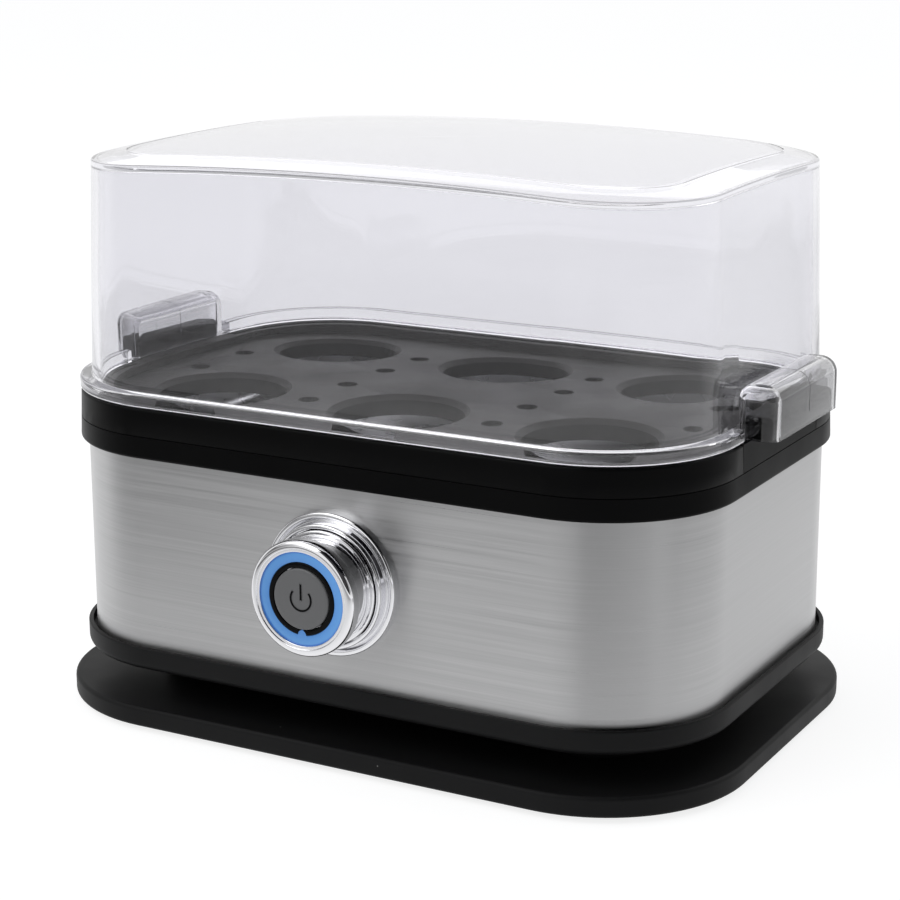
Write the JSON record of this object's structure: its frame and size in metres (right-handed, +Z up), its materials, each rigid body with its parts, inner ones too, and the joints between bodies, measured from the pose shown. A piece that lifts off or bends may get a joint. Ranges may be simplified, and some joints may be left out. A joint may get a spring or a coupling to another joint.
{
  "type": "electric egg cooker",
  "caption": "Countertop egg steamer: brushed steel body on a cord-winding foot, turn-and-push lit knob, lift-out egg tray and clear domed lid with end handles.",
  "frame": {"origin": "middle of the whole footprint, knob included, on the surface that the feet stand on", "axes": "+X along the long side to the right seen from the knob's side, the knob faces -Y, +Z up"},
  "size_m": [0.2172, 0.16, 0.1655],
  "materials": {
    "black_plastic": "fine satin moulding",
    "tray_plastic": "satin moulding",
    "brushed_steel": "brushed along its length",
    "basin_steel": "pressed and satin",
    "clear_plastic": "clear and polished",
    "chrome": "mirror bright",
    "light": "translucent, lit from behind",
    "button_plastic": "satin",
    "gloss_black": "polished",
    "rubber": "matt",
    "silicone": "matt",
    "aluminium": "mill finish",
    "brass": "turned",
    "screw_steel": "zinc plated",
    "sheath_steel": "heat darkened",
    "board_green": "lacquered",
    "component_blue": "moulded",
    "component_black": "moulded",
    "terminal_white": "moulded"
  },
  "bodies": {
    "housing": {"base_plate": "black_plastic", "rubber_feet": "rubber", "base_screws": "screw_steel", "inner_housing": "black_plastic", "collar_screws": "screw_steel", "steel_sleeve": "brushed_steel", "lower_collar": "black_plastic", "upper_collar": "black_plastic", "water_basin": "basin_steel", "basin_seal": "silicone", "spreader_plate": "aluminium", "heating_element": "sheath_steel", "thermostat": "aluminium", "thermal_fuse": "aluminium", "knob_bezel": "chrome", "bezel_nut": "brass", "push_switch": "component_black", "turn_sensor": "component_blue", "control_board": "board_green", "board_screws": "screw_steel", "relay": "component_blue", "buzzer": "component_black", "terminal_block": "terminal_white", "cord_gland": "rubber"},
    "knob": {"knob_body": "chrome", "light_ring": "light", "knob_inner_ring": "gloss_black"},
    "button": {"power_button": "button_plastic", "switch_plunger": "component_black"},
    "tray": {"egg_tray": "tray_plastic"},
    "lid": {"lid": "clear_plastic"}
  },
  "joints": [
    {"name": "knob_turn", "type": "hinge", "parent": "housing", "child": "knob", "pos_m": [0, -0.063, 0.0524], "axis": [0, 1, 0], "range_deg": [0, 300]},
    {"name": "button_push", "type": "slide", "parent": "housing", "child": "button", "axis": [0, 1, 0], "range_m": [0, 0.0015], "stiffness_N_per_m": 400, "springref_m": -0.0015},
    {"name": "tray_lift", "type": "slide", "parent": "housing", "child": "tray", "axis": [0, 0, 1], "range_m": [0, 0.08]},
    {"name": "lid_lift", "type": "slide", "parent": "tray", "child": "lid", "axis": [0, 0, 1], "range_m": [0, 0.1]}
  ]
}
